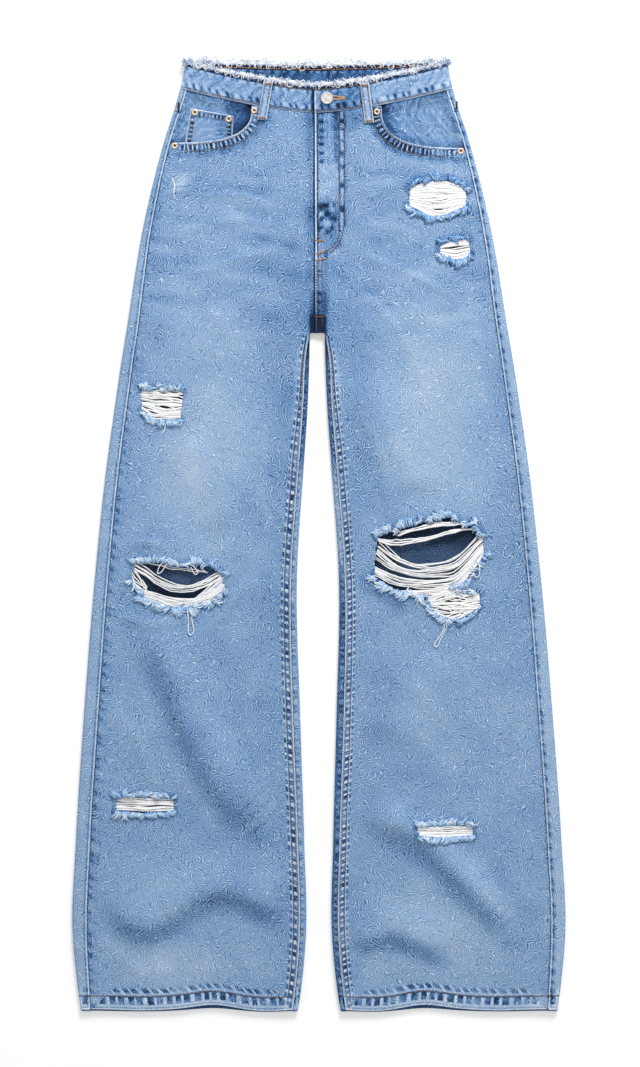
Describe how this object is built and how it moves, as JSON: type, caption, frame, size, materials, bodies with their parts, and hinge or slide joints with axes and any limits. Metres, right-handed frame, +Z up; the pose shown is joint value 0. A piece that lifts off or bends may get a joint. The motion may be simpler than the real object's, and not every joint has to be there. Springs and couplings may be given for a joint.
{
  "type": "ripped jeans",
  "caption": "High-waisted wide-leg jeans laid flat and face up, with ripped thigh, knees, hip and shins and a raw frayed waist edge.",
  "frame": {"origin": "bottom centre of the garment as it lies flat, on the surface it rests on", "axes": "+Y from the hems to the waist, +Z up from the surface, +X towards the wearer's left"},
  "size_m": [0.5667, 1.0986, 0.0139],
  "materials": {
    "denim_washed": "mid-light stone-washed denim, matte twill, faded on the thighs",
    "denim_band": "washed denim, folded double, darker than the panels",
    "denim_facing": "washed denim behind the pocket mouths",
    "weft_threads": "loose white cotton weft threads",
    "blue_fray": "curled blue and white thread ends",
    "waist_fray": "fluffy pale fringe of a raw edge",
    "seam_thread": "faded tan and orange sewing thread",
    "button_metal": "matte brushed nickel",
    "rivet_metal": "worn copper"
  },
  "bodies": {
    "root": {"back_left": "denim_washed", "back_right": "denim_washed", "belt_loop_back_centre": "denim_washed", "belt_loop_back_left": "denim_washed", "belt_loop_back_right": "denim_washed", "belt_loop_front_left": "denim_washed", "belt_loop_front_right": "denim_washed", "coin_pocket": "denim_washed", "fray_hip_left_foot": "blue_fray", "fray_hip_left_small_foot": "blue_fray", "fray_hip_left_small_top": "blue_fray", "fray_hip_left_top": "blue_fray", "fray_knee_left_foot": "blue_fray", "fray_knee_left_lower_foot": "blue_fray", "fray_knee_left_top": "blue_fray", "fray_knee_right_foot": "blue_fray", "fray_knee_right_top": "blue_fray", "fray_shin_left_foot": "blue_fray", "fray_shin_left_top": "blue_fray", "fray_shin_right_foot": "blue_fray", "fray_shin_right_top": "blue_fray", "fray_thigh_right_foot": "blue_fray", "fray_thigh_right_top": "blue_fray", "front_left": "denim_washed", "front_right": "denim_washed", "pocket_facing_left": "denim_facing", "pocket_facing_right": "denim_facing", "rivet_coin_left": "rivet_metal", "rivet_coin_right": "rivet_metal", "rivet_mouth_left": "rivet_metal", "rivet_mouth_right": "rivet_metal", "rivet_side_left": "rivet_metal", "rivet_side_right": "rivet_metal", "seat_pocket_left": "denim_washed", "seat_pocket_right": "denim_washed", "waist_button": "button_metal", "waist_fray": "waist_fray", "waistband": "denim_band", "weft_hip_left": "weft_threads", "weft_hip_left_small": "weft_threads", "weft_knee_left": "weft_threads", "weft_knee_left_lower": "weft_threads", "weft_knee_left_upper": "weft_threads", "weft_knee_right": "weft_threads", "weft_shin_left": "weft_threads", "weft_shin_right": "weft_threads", "weft_thigh_right": "weft_threads", "yoke_left": "denim_washed", "yoke_right": "denim_washed"}
  },
  "joints": []
}
